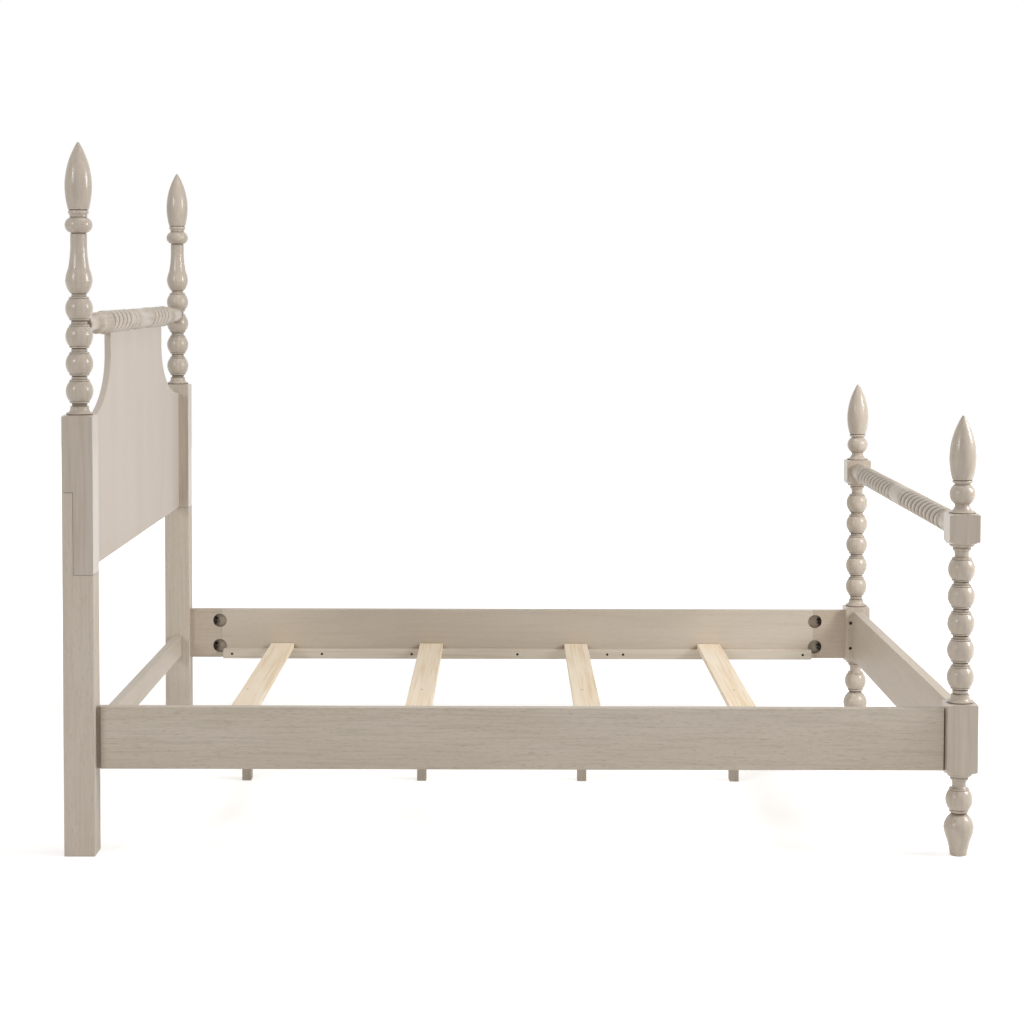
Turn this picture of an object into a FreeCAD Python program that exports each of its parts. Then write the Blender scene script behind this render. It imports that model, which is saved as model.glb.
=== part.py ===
"""Spindle bed of washed oak, built as a bench joiner builds it.

The origin is on the floor under the middle of the bed. X runs from the head (-X) to the foot
(+X), Y from the near side (-Y) to the far side (+Y), Z up. All sizes are in millimetres.
"""
import FreeCAD, Part
import math
import os
import types

import Sketcher
from FreeCAD import Placement, Rotation, Vector

# ---------------------------------------------------------------------------
# Driving dimensions
# ---------------------------------------------------------------------------
SIZES = {
    # the plan of the bed
    "clear_length": (2069, "between the faces of the head and foot posts"),
    "clear_width": (1487, "between the faces of the near and far posts"),
    "post_side": (75, "side of every square post block"),
    "edge_ease": (1.5, "rounding along the edges of blocks and boards"),
    "fit_gap": (0.15, "space left round a tongue, tenon, dowel or screw"),
    # square blocks and their turned shoulders
    "lap_bottom": (687, "top of the square head leg, foot of the head post"),
    "head_block_top": (1073.7, "top of the head post's square block"),
    "lower_block_bottom": (203.6, "foot post, block that takes the rails"),
    "lower_block_top": (375.3, "foot post, top of that block"),
    "upper_block_bottom": (766.5, "foot post, block that takes the top rail"),
    "upper_block_height": (72.8, "foot post, height of that block"),
    "top_shoulder_fall": (2.5, "drop from mid-face to corner at a block's top"),
    "bottom_shoulder_fall": (6, "rise from mid-face to corner at a block's foot"),
    # one bead of the turned stretches: groove, ring, ball and collar
    "bead_radius": (33, "radius of a ball"),
    "bead_half": (24, "half height of a ball"),
    "bead_edge": (24.2, "radius where a ball meets its ring and collar"),
    "ring_edge": (21.8, "radius at the ends of the thin ring"),
    "ring_bulge": (2.3, "how far the thin ring swells"),
    "ring_height": (4.5, "height of the thin ring"),
    "collar_edge": (22.6, "radius at the ends of the collar"),
    "collar_bulge": (1.8, "how far the collar swells"),
    "collar_height": (4.5, "height of the collar"),
    "groove_radius": (17.3, "radius at the bottom of a groove"),
    "groove_width": (3, "width of a groove"),
    "neck_radius": (19.5, "radius of the plain neck between beads"),
    "head_first_neck": (0.5, "head post, deep groove to the first bead"),
    "head_bead_pitch": (66.8, "head post, ball to ball"),
    "foot_first_neck": (5.9, "foot post, deep groove to the first bead"),
    "foot_bead_pitch": (66.1, "foot post, ball to ball"),
    # ring and hollow that lead from a block to the beads
    "base_ring_radius": (31, "ring on top of a block"),
    "base_ring_height": (6, "height of that ring above mid-face"),
    "base_ring_swell": (1.5, "how far that ring swells"),
    "cove_radius": (27.5, "lower end of the hollow above the ring"),
    "hollow_radius": (22.7, "upper end of the hollow above the ring"),
    "hollow_height": (14.3, "height of the hollow"),
    "hollow_depth": (2, "how deep the hollow is"),
    "deep_groove_radius": (17.4, "groove above the hollow"),
    "deep_groove_half": (2.5, "half height of that groove"),
    # vase and flattened ball at the top of the head post
    "vase_start": (34.6, "last ball's centre to the groove under the vase"),
    "vase_base_radius": (21.3, "vase, lowest radius"),
    "vase_base_height": (3, "groove to the vase's lowest radius"),
    "vase_belly_radius": (32.7, "vase, widest radius"),
    "vase_belly_height": (28, "vase, base to belly"),
    "vase_lower_swell": (2, "vase, swell below the belly"),
    "vase_shoulder_radius": (25.9, "vase, radius where it turns hollow"),
    "vase_shoulder_height": (31, "vase, belly to that place"),
    "vase_upper_swell": (1.5, "vase, swell above the belly"),
    "vase_neck_radius": (20.1, "vase, thin neck"),
    "vase_hollow_height": (52, "vase, hollow part"),
    "vase_hollow_depth": (1.1, "vase, depth of the hollow"),
    "vase_neck_height": (31, "vase, straight neck"),
    "top_ball_radius": (33.3, "flattened ball, radius"),
    "top_ball_edge": (17.7, "flattened ball, radius at its poles"),
    "top_ball_half": (19.5, "flattened ball, half height"),
    "top_ball_gap": (2.5, "step below the flattened ball"),
    "joint_radius": (21.5, "head post, radius of the neck under the finial"),
    "joint_neck": (7, "head post, height of that neck"),
    # finials
    "finial_ring_radius": (23.5, "finial, ring at its foot"),
    "finial_ring_height": (9, "finial, height of that ring"),
    "finial_ring_bulge": (1.4, "finial, swell of that ring"),
    "finial_groove_radius": (21.5, "finial, groove above the ring"),
    "finial_groove_height": (1, "finial, half height of the groove"),
    "finial_base_radius": (25, "finial, foot of the acorn"),
    "finial_radius": (32.8, "finial, widest radius"),
    "finial_lower_height": (58, "finial, foot of the acorn to the widest place"),
    "foot_finial_ring": (6, "foot post's finial, height of its ring"),
    "foot_finial_lower": (51.3, "foot post's finial, foot of the acorn to the widest place"),
    "finial_lower_swell": (1.9, "finial, swell below the widest place"),
    "finial_upper_height": (102, "finial, widest place to the tip"),
    "finial_upper_swell": (7, "finial, swell above the widest place"),
    "finial_tip_radius": (3.6, "finial, blunt tip"),
    "finial_tip_height": (2.5, "finial, dome on the tip"),
    "finial_tip_swell": (0.5, "finial, swell of that dome"),
    "finial_tip_flat": (1.2, "finial, flat on the dome"),
    "pin_radius": (4, "pin between finial and post"),
    "pin_length": (30, "length of that pin"),
    # turned foot of the foot post
    "toe_radius": (20.5, "foot, on the floor"),
    "toe_rim": (21.2, "foot, above its bevel"),
    "toe_height": (3, "foot, height of its bevel"),
    "toe_hollow_radius": (29.4, "foot, end of the hollow part"),
    "toe_hollow_height": (37, "foot, height of the hollow part"),
    "toe_hollow_depth": (0.9, "foot, depth of the hollow part"),
    "pear_radius": (37, "foot, widest radius"),
    "pear_height": (29, "foot, hollow part to the widest place"),
    "pear_lower_swell": (1.2, "foot, swell below the widest place"),
    "pear_top_radius": (22.3, "foot, top of the pear"),
    "pear_top_height": (30, "foot, widest place to the top of the pear"),
    "pear_upper_swell": (3.2, "foot, swell above the widest place"),
    "ankle_radius": (18.5, "foot, thin ankle"),
    "ankle_height": (3, "foot, slope down to the ankle"),
    "foot_ball_centre": (137, "foot post, centre of the lowest ball"),
    "foot_ring_height": (7, "foot post, ring under that ball"),
    # ring, groove, step and hollow neck under a block
    "under_ring_radius": (26.5, "lower end of the ring under a block"),
    "under_ring_height": (8.5, "height of that ring below mid-face"),
    "under_ring_swell": (1.2, "how far that ring swells"),
    "under_groove_radius": (21.5, "groove under the ring"),
    "under_groove_height": (4, "height of that groove"),
    "step_radius": (22.5, "thin ring under the groove, top"),
    "step_low_radius": (20.5, "thin ring under the groove, foot"),
    "step_height": (5.5, "height of that thin ring"),
    "step_swell": (0.8, "how far that thin ring swells"),
    "under_neck_radius": (18.8, "top of the hollow neck"),
    "under_neck_height": (16.3, "height of the hollow neck"),
    "under_neck_depth": (0.6, "how deep that neck is"),
    # ball on the foot post
    "cap_ring_height": (4.3, "ring on top of the upper block"),
    "cap_hollow_height": (13.5, "hollow above it"),
    "cap_hollow_depth": (1.5, "how deep it is"),
    "cap_neck_radius": (18, "neck under the ball"),
    "cap_neck_height": (4.9, "height of that neck"),
    "cap_ball_radius": (31.5, "ball, radius"),
    "cap_ball_edge": (18.8, "ball, radius at its poles"),
    "cap_ball_half": (24, "ball, half height"),
    "cap_joint_radius": (19.5, "neck between ball and finial"),
    "cap_joint_height": (3.3, "height of that neck"),
    # lap between head leg and head post
    "lap_height": (200, "height of the lap"),
    "tongue_thickness": (26, "thickness of the leg's tongue"),
    "lap_gap": (0.8, "shadow line round the lap"),
    "lap_line_depth": (3, "how deep that line is along the sides"),
    "lap_bolt_inset": (50, "bolt to each end of the lap"),
    "lap_bolt_radius": (4, "lap bolt, shank"),
    "lap_bolt_length": (38, "lap bolt, under its head"),
    "lap_head_radius": (6.5, "lap bolt, head"),
    "lap_head_height": (5.3, "lap bolt, height of the head"),
    "lap_head_recess": (1.1, "lap bolt, head below the surface"),
    "washer_radius": (9, "lap washer, radius"),
    "washer_thickness": (1.6, "lap washer, thickness"),
    # head panel
    "panel_thickness": (16, "head panel, thickness"),
    "panel_bottom": (689, "head panel, lower edge"),
    "panel_neck": (822, "head panel, width of its raised middle"),
    "panel_curve_drop": (158, "head panel, height of the curved shoulder"),
    "panel_curve_fall": (85, "head panel, top rail's axis to the curve's upper end"),
    "groove_depth": (10, "head panel, how far it enters posts and top rail"),
    # head top rail
    "head_rail_height": (1292, "head top rail, axis above the floor"),
    "head_rope_radius": (30.5, "head top rail, rope-carved stretch"),
    "head_rope_start": (172, "head top rail, middle to the rope"),
    "head_rope_length": (285, "head top rail, length of the rope"),
    "head_ring_width": (20, "head top rail, ring beside the rope"),
    "head_rail_groove": (24, "head top rail, radius in its grooves"),
    "head_groove_place": (120, "head top rail, middle to the barrel's groove"),
    "head_barrel_radius": (27.5, "head top rail, smooth barrel"),
    "head_rail_ball": (27.5, "head top rail, ball beside the rope"),
    "head_rail_ball_place": (570, "head top rail, middle to that ball"),
    "head_rail_ball_half": (24, "head top rail, half width of that ball"),
    "head_rail_neck": (17, "head top rail, thinnest radius"),
    "head_rail_end_radius": (22, "head top rail, taper's wide end"),
    "head_rail_taper_gap": (14, "head top rail, ball to the taper"),
    "head_rail_collar": (25, "head top rail, collar by the post"),
    "head_rail_collar_width": (12, "head top rail, width of that collar"),
    "head_rail_clear": (3, "head top rail, collar to the post's balls"),
    "head_tenon_radius": (10, "head top rail, tenon"),
    "head_tenon_depth": (16, "head top rail, tenon inside the post's neck"),
    # foot top rail
    "foot_rail_rope": (28.7, "foot top rail, rope-carved stretch"),
    "foot_rope_start": (95, "foot top rail, middle to the rope"),
    "foot_rope_end": (140, "foot top rail, rope to the post"),
    "foot_rail_barrel": (26.5, "foot top rail, smooth barrel"),
    "foot_rail_groove": (23, "foot top rail, radius in its grooves"),
    "foot_rail_collar": (27.5, "foot top rail, smooth end"),
    "rail_groove_width": (7, "top rails, width of a groove"),
    "rail_ring_width": (12, "foot top rail, ring beside the rope"),
    "foot_tenon_radius": (12.5, "foot top rail, tenon"),
    "foot_tenon_depth": (25, "foot top rail, length of the tenon"),
    # stretcher and low board
    "stretcher_thickness": (25, "head stretcher, thickness"),
    "stretcher_bottom": (217, "head stretcher, lower edge"),
    "stretcher_height": (65, "head stretcher, height"),
    "low_board_thickness": (28, "foot low board, thickness"),
    "dowel_radius": (5, "dowel"),
    "dowel_length": (60, "dowel"),
    "dowel_inset": (15, "head stretcher, dowel to the board's edge"),
    "board_dowel_inset": (40, "foot low board, dowel to the board's edge"),
    # side rails and their end blocks
    "rail_bottom": (210, "side rail, lower edge above the floor"),
    "rail_height": (152, "side rail, height"),
    "rail_thickness": (26, "side rail, thickness"),
    "rail_head_gap": (10, "side rail, space to the head leg"),
    "rail_foot_gap": (3, "side rail, space to the foot post"),
    "block_length": (99, "end block, length from the post"),
    "block_depth": (20, "end block, thickness"),
    "block_seam": (0.4, "seam between end block and side rail"),
    "pocket_radius": (21.5, "bolt pocket, radius"),
    "pocket_place": (94, "bolt pocket, centre from the post"),
    "lower_stud": (36, "lower bed stud above the rail's lower edge"),
    "stud_spacing": (80, "lower to upper bed stud"),
    "stud_radius": (4, "bed stud"),
    "stud_length": (107, "bed stud"),
    "stud_play": (0.5, "space round a stud in wood"),
    "insert_radius": (6, "threaded insert, outside"),
    "insert_length": (20, "threaded insert"),
    "barrel_radius": (5, "barrel nut in a foot post"),
    "barrel_length": (20, "barrel nut, length"),
    "barrel_place": (15, "barrel nut, post's face to its axis"),
    "moon_height": (14, "half-moon washer, height"),
    "moon_thickness": (6, "half-moon washer, thickness at its middle"),
    "nut_radius": (7.5, "hex nut, across corners, half"),
    "nut_height": (6.5, "hex nut, height"),
    # ledgers, slats and centre legs
    "ledger_length": (1854, "ledger strip, length"),
    "ledger_thickness": (28, "ledger strip, thickness"),
    "ledger_height": (29, "ledger strip, height"),
    "screw_group_place": (616, "ledger, middle to the middle screw of an outer three"),
    "screw_spacing": (283, "ledger, screw to screw within a three"),
    "ledger_screw_drop": (14, "screws below the ledger's top"),
    "screw_radius": (2.25, "wood screw, shank"),
    "screw_head_radius": (4, "wood screw, head"),
    "screw_head_height": (3, "wood screw, countersunk head"),
    "ledger_screw_length": (45, "ledger screw"),
    "leg_screw_length": (60, "centre leg screw"),
    "slat_width": (72, "slat, width"),
    "slat_thickness": (16, "slat, thickness"),
    "slat_end_gap": (2.5, "slat's end to the rail's face"),
    "slat_1_place": (-742, "slat by the head, from the middle of the bed"),
    "slat_2_place": (-272, "second slat"),
    "slat_3_place": (184, "third slat"),
    "slat_4_place": (604, "slat by the foot"),
    "centre_leg_length": (25.5, "centre leg, along the bed"),
    "centre_leg_width": (38, "centre leg, across the bed"),
    "centre_leg_1_shift": (-20, "first centre leg, from the middle of its slat"),
    "centre_leg_3_shift": (-7, "third centre leg, from the middle of its slat"),
}
HEAD_BEADS = 4
FOOT_BEADS = 5
CORNER = math.sqrt(2)
BLANK_MARGIN = 1
ENDS = {"head": -1, "foot": 1}
SIDES = {"near": -1, "far": 1}
ALONG_X = Rotation(Vector(0, 1, 0), 90)
ALONG_Y = Rotation(Vector(1, 0, 0), -90)
AGAINST_Y = Rotation(Vector(1, 0, 0), 90)
UP = Rotation()
DOWN = Rotation(Vector(1, 0, 0), 180)


class Size:
    """A length that carries its value and the formula that ties it to the sheet."""

    def __init__(self, value, formula):
        self.value = value
        self.formula = formula

    def __add__(self, other):
        other = as_size(other)
        return Size(self.value + other.value, f"({self.formula} + {other.formula})")

    def __sub__(self, other):
        other = as_size(other)
        return Size(self.value - other.value, f"({self.formula} - {other.formula})")

    def __mul__(self, other):
        other = as_size(other)
        return Size(self.value * other.value, f"({self.formula} * {other.formula})")

    def __truediv__(self, other):
        other = as_size(other)
        return Size(self.value / other.value, f"({self.formula} / {other.formula})")

    def __neg__(self):
        return Size(-self.value, f"(0 - {self.formula})")


def as_size(number):
    return number if isinstance(number, Size) else Size(number, f"({number})")


doc = FreeCAD.newDocument("spindle_bed")
sheet = doc.addObject("Spreadsheet::Sheet", "Sizes")
for row, (alias, (value, meaning)) in enumerate(SIZES.items(), 1):
    sheet.set(f"A{row}", alias)
    sheet.set(f"B{row}", str(value))
    sheet.set(f"C{row}", meaning)
    sheet.setAlias(f"B{row}", alias)
doc.recompute()
size = types.SimpleNamespace(**{alias: Size(sheet.get(alias), f"Sizes.{alias}") for alias in SIZES})
nodes = []


# ---------------------------------------------------------------------------
# How pieces are made
# ---------------------------------------------------------------------------
def bind(thing, **lengths):
    for name, length in lengths.items():
        thing.setExpression(name, as_size(length).formula)


def place(thing, x, y, z, turn=UP):
    thing.Placement = Placement(Vector(), turn)
    for axis, length in (("x", x), ("y", y), ("z", z)):
        thing.setExpression(f"Placement.Base.{axis}", as_size(length).formula)


def box(name, x, y, z, length, width, height):
    """A plain box centred on x and y, standing at the height z."""
    thing = doc.addObject("Part::Box", name)
    bind(thing, Length=length, Width=width, Height=height)
    place(thing, x - length / 2, y - width / 2, z)
    return thing


def rod(name, turn, x, y, z, radius, length):
    """A round rod whose middle is at x, y, z and whose axis is turned by turn."""
    thing = doc.addObject("Part::Cylinder", name)
    bind(thing, Radius=radius, Height=length)
    ahead = turn.multVec(Vector(0, 0, 1))
    middle = [as_size(place_along) for place_along in (x, y, z)]
    start = [
        place_along - length * (round(share) / 2) if round(share) else place_along
        for place_along, share in zip(middle, ahead)
    ]
    place(thing, *start, turn)
    return thing


def joined(name, things):
    if len(things) == 1:
        return things[0]
    thing = doc.addObject("Part::MultiFuse", name)
    thing.Shapes = things
    return thing


def cut(name, base, tools):
    thing = doc.addObject("Part::Cut", name)
    thing.Base = base
    thing.Tool = joined(name + "_tools", tools)
    return thing


def node(label, thing):
    """Name a finished sub-part and keep it for the files."""
    thing.Label = label
    nodes.append(thing)
    return thing


def group(label, things):
    """One node of several equal, separate solids."""
    thing = doc.addObject("Part::Compound", label)
    thing.Links = things
    return node(label, thing)


def body_plane(body, role):
    return next(plane for plane in body.Origin.OriginFeatures if plane.Role == role)


def arc_between(start, end, bulge):
    """The arc from start to end. A positive bulge swells to the right of the way travelled."""
    across = end - start
    radius = across.Length ** 2 / (8 * abs(bulge)) + abs(bulge) / 2
    left = Vector(-across.y, across.x, 0).normalize() * math.copysign(1, bulge)
    centre = (start + end) / 2 + left * (radius - abs(bulge))
    first, last = (start, end) if bulge > 0 else (end, start)
    from_angle = math.atan2(first.y - centre.y, first.x - centre.x)
    to_angle = math.atan2(last.y - centre.y, last.x - centre.x)
    if to_angle < from_angle:
        to_angle += 2 * math.pi
    return Part.ArcOfCircle(Part.Circle(centre, Vector(0, 0, 1), radius), from_angle, to_angle)


def draw_loop(sketch, points):
    """Draw a closed outline, every corner and arc of it tied to the sheet.

    Each point is (across, along, bulge): where the outline goes next, and how far that stretch
    swells, or None where it is straight.
    """
    corners = [(as_size(across), as_size(along), bulge) for across, along, bulge in points]
    shapes = []
    for (x0, y0, _), (x1, y1, bulge) in zip([corners[-1]] + corners[:-1], corners):
        start = Vector(x0.value, y0.value, 0)
        end = Vector(x1.value, y1.value, 0)
        shapes.append(arc_between(start, end, bulge.value) if bulge else Part.LineSegment(start, end))
    first = sketch.addGeometry(shapes, False)[0]
    ends = [(1, 2) if bulge is None or bulge.value > 0 else (2, 1) for _, _, bulge in corners]
    limits = []
    formulas = []

    def limit(kind, *where, formula=None):
        limits.append(Sketcher.Constraint(kind, *where))
        formulas.append(formula)

    for index, (x, y, bulge) in enumerate(corners):
        here = first + index
        after = (index + 1) % len(corners)
        limit("Coincident", here, ends[index][1], first + after, ends[after][0])
        for kind, axis, length in (("DistanceX", -2, x), ("DistanceY", -1, y)):
            if length.value == 0:
                limit("PointOnObject", here, ends[index][1], axis)
            else:
                limit(kind, -1, 1, here, ends[index][1], length.value, formula=length.formula)
        if bulge is not None:
            x0, y0, _ = corners[index - 1]
            swell = bulge if bulge.value > 0 else -bulge
            chord = (x - x0) * (x - x0) + (y - y0) * (y - y0)
            radius = chord / (swell * 8) + swell / 2
            limit("Radius", here, radius.value, formula=radius.formula)
    start = sketch.ConstraintCount
    sketch.addConstraint(limits)
    for index, formula in enumerate(formulas, start):
        if formula:
            sketch.setExpression(f"Constraints[{index}]", formula)


def turned(name, outline, x, y, z, turn=UP):
    """A body turned about its own Z axis from an outline of (radius, height, bulge) steps."""
    body = doc.addObject("PartDesign::Body", name)
    sketch = body.newObject("Sketcher::SketchObject", name + "_outline")
    sketch.AttachmentSupport = (body_plane(body, "XZ_Plane"), "")
    sketch.MapMode = "FlatFace"
    lowest = outline[0][1]
    highest = outline[-1][1]
    draw_loop(sketch, [(0, lowest, None)] + outline + [(0, highest, None)])
    spin = body.newObject("PartDesign::Revolution", name + "_turned")
    spin.Profile = sketch
    spin.ReferenceAxis = (sketch, ["V_Axis"])
    spin.Angle = 360
    body.Tip = spin
    place(body, x, y, z, turn)
    return body


def square_off(body, height):
    """Plane the four sides of a turned post's blocks, up to the given height."""
    name = body.Name
    before = body.Tip
    sketch = body.newObject("Sketcher::SketchObject", name + "_square")
    sketch.AttachmentSupport = (body_plane(body, "XY_Plane"), "")
    sketch.MapMode = "FlatFace"
    half = size.post_side / 2
    inner = half - size.edge_ease
    rounding = size.edge_ease * (1 - 1 / CORNER)
    draw_loop(sketch, [
        (half, -inner, rounding), (half, inner, None), (inner, half, rounding), (-inner, half, None),
        (-half, inner, rounding), (-half, -inner, None), (-inner, -half, rounding), (inner, -half, None),
    ])
    outer = size.post_side * CORNER
    draw_loop(sketch, [(outer, -outer, None), (outer, outer, None), (-outer, outer, None),
                       (-outer, -outer, None)])
    planed = body.newObject("PartDesign::Pocket", name + "_planed")
    planed.Profile = sketch
    planed.Reversed = True
    bind(planed, Length=height)
    body.Tip = planed
    doc.recompute()
    if planed.Shape.Volume >= before.Shape.Volume:
        raise RuntimeError(name + ": the square sides were not cut")


def board(name, x, y, z, length, width, height):
    """A board with eased edges, centred on x and y, standing at the height z."""
    body = doc.addObject("PartDesign::Body", name)
    blank = body.newObject("PartDesign::AdditiveBox", name + "_blank")
    bind(blank, Length=length, Width=width, Height=height)
    eased = body.newObject("PartDesign::Fillet", name + "_eased")
    eased.Base = (blank, [f"Edge{number}" for number in range(1, 13)])
    bind(eased, Radius=size.edge_ease)
    body.Tip = eased
    place(body, x - length / 2, y - width / 2, z)
    return body


# ---------------------------------------------------------------------------
# Places that several pieces share
# ---------------------------------------------------------------------------
half_post = size.post_side / 2
post_x = (size.clear_length + size.post_side) / 2
post_y = (size.clear_width + size.post_side) / 2
blank_radius = half_post * CORNER + BLANK_MARGIN
rail_face = post_y - size.rail_thickness / 2
ledger_face = rail_face - size.ledger_thickness
slat_bottom = size.rail_bottom + size.ledger_height
slat_top = slat_bottom + size.slat_thickness
stud_heights = [
    size.rail_bottom + size.lower_stud,
    size.rail_bottom + size.lower_stud + size.stud_spacing,
]
lap_top = size.lap_bottom + size.lap_height
tongue_x = -(post_x + half_post - size.tongue_thickness / 2)
lap_face = -(post_x + half_post - size.tongue_thickness)
lap_bolt_heights = [size.lap_bottom + size.lap_bolt_inset, lap_top - size.lap_bolt_inset]
upper_block_top = size.upper_block_bottom + size.upper_block_height
foot_rail_height = size.upper_block_bottom + size.upper_block_height / 2


# ---------------------------------------------------------------------------
# Turned outlines, from the lowest point up
# ---------------------------------------------------------------------------
def bead(centre, ring_height):
    """Groove, thin ring, ball and collar of one bead, with the neck on both sides."""
    low = centre - size.bead_half
    high = centre + size.bead_half
    ring_low = low - ring_height
    return [
        (size.neck_radius, ring_low - size.groove_width, None),
        (size.groove_radius, ring_low - size.groove_width / 2, None),
        (size.ring_edge, ring_low, None),
        (size.ring_edge, low, size.ring_bulge),
        (size.bead_edge, low, None),
        (size.bead_edge, high, size.bead_radius - size.bead_edge),
        (size.collar_edge, high, None),
        (size.collar_edge, high + size.collar_height, size.collar_bulge),
        (size.neck_radius, high + size.collar_height, None),
    ]


def shoulder(middle, fall):
    """The sloped end of a square block: its place at the ring and at the corners.

    It crosses the middle of each face at the height middle. A positive fall is a block's top.
    """
    slope = fall / (half_post * (CORNER - 1))
    at_ring = (size.base_ring_radius, middle + slope * (half_post - size.base_ring_radius), None)
    at_blank = (blank_radius, middle - slope * (blank_radius - half_post), None)
    return at_ring, at_blank


def beads_above(middle):
    """Upper end of the deep groove over a block's top."""
    return middle + size.base_ring_height + size.hollow_height + size.deep_groove_half * 2


def block_top(middle):
    """Top shoulder, ring, hollow and deep groove that lead from a block to its beads."""
    at_ring, at_blank = shoulder(middle, size.top_shoulder_fall)
    ring_top = middle + size.base_ring_height
    hollow_top = ring_top + size.hollow_height
    groove = hollow_top + size.deep_groove_half
    return [
        at_blank, at_ring,
        (size.base_ring_radius, ring_top, size.base_ring_swell),
        (size.cove_radius, ring_top, None),
        (size.hollow_radius, hollow_top, -size.hollow_depth),
        (size.deep_groove_radius, groove, None),
        (size.neck_radius, beads_above(middle), None),
    ]


def block_bottom(middle):
    """Hollow neck, thin ring, groove, ring and bottom shoulder from the turning up to a block."""
    at_ring, at_blank = shoulder(middle, -size.bottom_shoulder_fall)
    ring_low = middle - size.under_ring_height
    step_top = ring_low - size.under_groove_height
    step_low = step_top - size.step_height
    return [
        (size.groove_radius, step_low - size.under_neck_height, None),
        (size.under_neck_radius, step_low, -size.under_neck_depth),
        (size.step_low_radius, step_low, None),
        (size.step_radius, step_top, size.step_swell),
        (size.under_groove_radius, step_top, None),
        (size.under_groove_radius, ring_low, None),
        (size.under_ring_radius, ring_low, None),
        (at_ring[0], at_ring[1], size.under_ring_swell),
        at_blank,
    ]


def ball(centre, radius, edge, half):
    return [(edge, centre - half, None), (edge, centre + half, radius - edge)]


bead_start = size.groove_width + size.ring_height + size.bead_half
first_head_bead = beads_above(size.head_block_top) + size.head_first_neck + bead_start
last_head_bead = first_head_bead + size.head_bead_pitch * (HEAD_BEADS - 1)
vase_base = last_head_bead + size.vase_start + size.vase_base_height
vase_belly = vase_base + size.vase_belly_height
vase_shoulder = vase_belly + size.vase_shoulder_height
vase_neck = vase_shoulder + size.vase_hollow_height
top_ball = vase_neck + size.vase_neck_height + size.top_ball_gap + size.top_ball_half
head_joint = top_ball + size.top_ball_half + size.joint_neck
head_outline = [(blank_radius, size.lap_bottom + size.lap_gap, None)] + block_top(size.head_block_top)
for number in range(HEAD_BEADS):
    head_outline += bead(first_head_bead + size.head_bead_pitch * number, size.ring_height)
head_outline += [
    (size.groove_radius, last_head_bead + size.vase_start, None),
    (size.vase_base_radius, vase_base, None),
    (size.vase_belly_radius, vase_belly, size.vase_lower_swell),
    (size.vase_shoulder_radius, vase_shoulder, size.vase_upper_swell),
    (size.vase_neck_radius, vase_neck, -size.vase_hollow_depth),
    (size.vase_neck_radius, vase_neck + size.vase_neck_height, None),
]
head_outline += ball(top_ball, size.top_ball_radius, size.top_ball_edge, size.top_ball_half)
head_outline += [
    (size.joint_radius, top_ball + size.top_ball_half, None),
    (size.joint_radius, head_joint, None),
]

toe_hollow = size.toe_height + size.toe_hollow_height
pear_belly = toe_hollow + size.pear_height
pear_top = pear_belly + size.pear_top_height
first_foot_bead = beads_above(size.lower_block_top) + size.foot_first_neck + bead_start
cap_neck = upper_block_top + size.cap_ring_height + size.cap_hollow_height
cap_ball = cap_neck + size.cap_neck_height + size.cap_ball_half
foot_joint = cap_ball + size.cap_ball_half + size.cap_joint_height
foot_outline = [
    (size.toe_radius, 0, None),
    (size.toe_rim, size.toe_height, None),
    (size.toe_hollow_radius, toe_hollow, -size.toe_hollow_depth),
    (size.pear_radius, pear_belly, size.pear_lower_swell),
    (size.pear_top_radius, pear_top, size.pear_upper_swell),
    (size.ankle_radius, pear_top + size.ankle_height, None),
]
foot_outline += bead(size.foot_ball_centre, size.foot_ring_height)
foot_outline += block_bottom(size.lower_block_bottom)
foot_outline += block_top(size.lower_block_top)
for number in range(FOOT_BEADS):
    foot_outline += bead(first_foot_bead + size.foot_bead_pitch * number, size.ring_height)
foot_outline += block_bottom(size.upper_block_bottom)
cap_ring, cap_corner = shoulder(upper_block_top, size.top_shoulder_fall)
foot_outline += [
    cap_corner, cap_ring,
    (size.base_ring_radius, upper_block_top + size.cap_ring_height, size.base_ring_swell),
    (size.cove_radius, upper_block_top + size.cap_ring_height, None),
    (size.cap_neck_radius, cap_neck, -size.cap_hollow_depth),
]
foot_outline += ball(cap_ball, size.cap_ball_radius, size.cap_ball_edge, size.cap_ball_half)
foot_outline += [
    (size.cap_joint_radius, cap_ball + size.cap_ball_half, None),
    (size.cap_joint_radius, foot_joint, None),
]


def finial(ring_height, lower_height):
    """Ring, groove and acorn of one finial."""
    acorn_foot = ring_height + size.finial_groove_height * 2
    acorn_belly = acorn_foot + lower_height
    acorn_top = acorn_belly + size.finial_upper_height
    return [
        (size.finial_ring_radius, 0, None),
        (size.finial_ring_radius, ring_height, size.finial_ring_bulge),
        (size.finial_groove_radius, ring_height + size.finial_groove_height, None),
        (size.finial_base_radius, acorn_foot, None),
        (size.finial_radius, acorn_belly, size.finial_lower_swell),
        (size.finial_tip_radius, acorn_top, size.finial_upper_swell),
        (size.finial_tip_flat, acorn_top + size.finial_tip_height, size.finial_tip_swell),
    ]


finial_joints = {"head": head_joint, "foot": foot_joint}
finial_outlines = {
    "head": finial(size.finial_ring_height, size.finial_lower_height),
    "foot": finial(size.foot_finial_ring, size.foot_finial_lower),
}


def both_ways(middle, half_outline):
    """A rail's full outline from the half that runs from its middle to its far end."""
    far = [(radius, middle + reach, bulge) for radius, reach, bulge in half_outline]
    bulges = [None] + [bulge for _, _, bulge in reversed(half_outline)]
    near = [
        (radius, middle - reach, bulge)
        for (radius, reach, _), bulge in zip(reversed(half_outline), bulges)
    ]
    return near + far


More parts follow.
